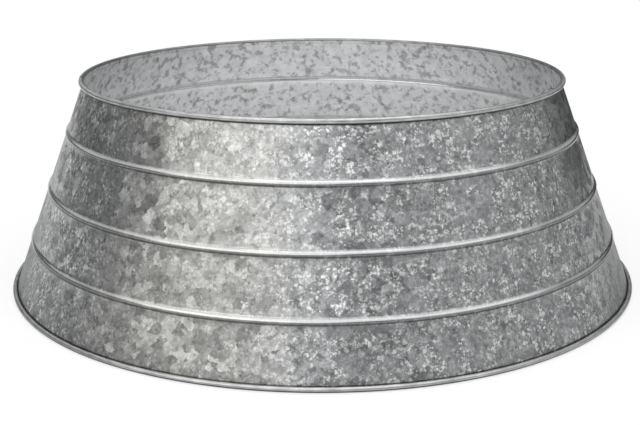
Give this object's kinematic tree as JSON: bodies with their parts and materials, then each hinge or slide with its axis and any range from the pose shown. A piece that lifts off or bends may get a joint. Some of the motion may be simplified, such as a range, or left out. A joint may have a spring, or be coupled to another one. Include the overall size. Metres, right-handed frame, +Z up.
{
  "type": "christmas tree collar",
  "caption": "Open cone-shaped collar of galvanised sheet steel that hides a tree stand: beaded half shells with rolled edges, joined inside the side seams by slotted strips and wing nuts.",
  "frame": {"origin": "centre of the collar at floor level, on the plane that the bottom rim rests on", "axes": "+Z up along the cone's axis, -Y towards the front, the seams between the halves at +X and -X"},
  "size_m": [0.6598, 0.66, 0.216],
  "materials": {
    "galvanised_sheet": "hot-dip galvanised, spangled",
    "galvanised_wire": "galvanised wire, satin",
    "zinc_plated_steel": "bright zinc plate"
  },
  "bodies": {
    "rear_half": {"rear_panel": "galvanised_sheet", "rear_top_rim_wire": "galvanised_wire", "rear_bottom_rim_wire": "galvanised_wire", "left_joint_strip": "galvanised_sheet", "right_joint_strip": "galvanised_sheet"},
    "front_half": {"front_panel": "galvanised_sheet", "front_top_rim_wire": "galvanised_wire", "front_bottom_rim_wire": "galvanised_wire", "left_lower_stud": "zinc_plated_steel", "left_upper_stud": "zinc_plated_steel", "right_lower_stud": "zinc_plated_steel", "right_upper_stud": "zinc_plated_steel", "left_lower_washer": "zinc_plated_steel", "left_upper_washer": "zinc_plated_steel", "right_lower_washer": "zinc_plated_steel", "right_upper_washer": "zinc_plated_steel"},
    "left_lower_nut": {"left_lower_wing_nut": "zinc_plated_steel"},
    "left_upper_nut": {"left_upper_wing_nut": "zinc_plated_steel"},
    "right_lower_nut": {"right_lower_wing_nut": "zinc_plated_steel"},
    "right_upper_nut": {"right_upper_wing_nut": "zinc_plated_steel"}
  },
  "joints": [
    {"name": "front_half_slide", "type": "slide", "parent": "rear_half", "child": "front_half", "axis": [0, -1, 0], "range_m": [0, 0.35]},
    {"name": "left_lower_nut_turn", "type": "hinge", "parent": "front_half", "child": "left_lower_nut", "pos_m": [-0.31251, -0.008, 0.02452], "axis": [0.9358, 0, -0.3526], "continuous": true},
    {"name": "left_upper_nut_turn", "type": "hinge", "parent": "front_half", "child": "left_upper_nut", "pos_m": [-0.25599, -0.008, 0.17452], "axis": [0.9358, 0, -0.3526], "continuous": true},
    {"name": "right_lower_nut_turn", "type": "hinge", "parent": "front_half", "child": "right_lower_nut", "pos_m": [0.31251, -0.008, 0.02452], "axis": [-0.9358, 0, -0.3526], "continuous": true},
    {"name": "right_upper_nut_turn", "type": "hinge", "parent": "front_half", "child": "right_upper_nut", "pos_m": [0.25599, -0.008, 0.17452], "axis": [-0.9358, 0, -0.3526], "continuous": true}
  ]
}
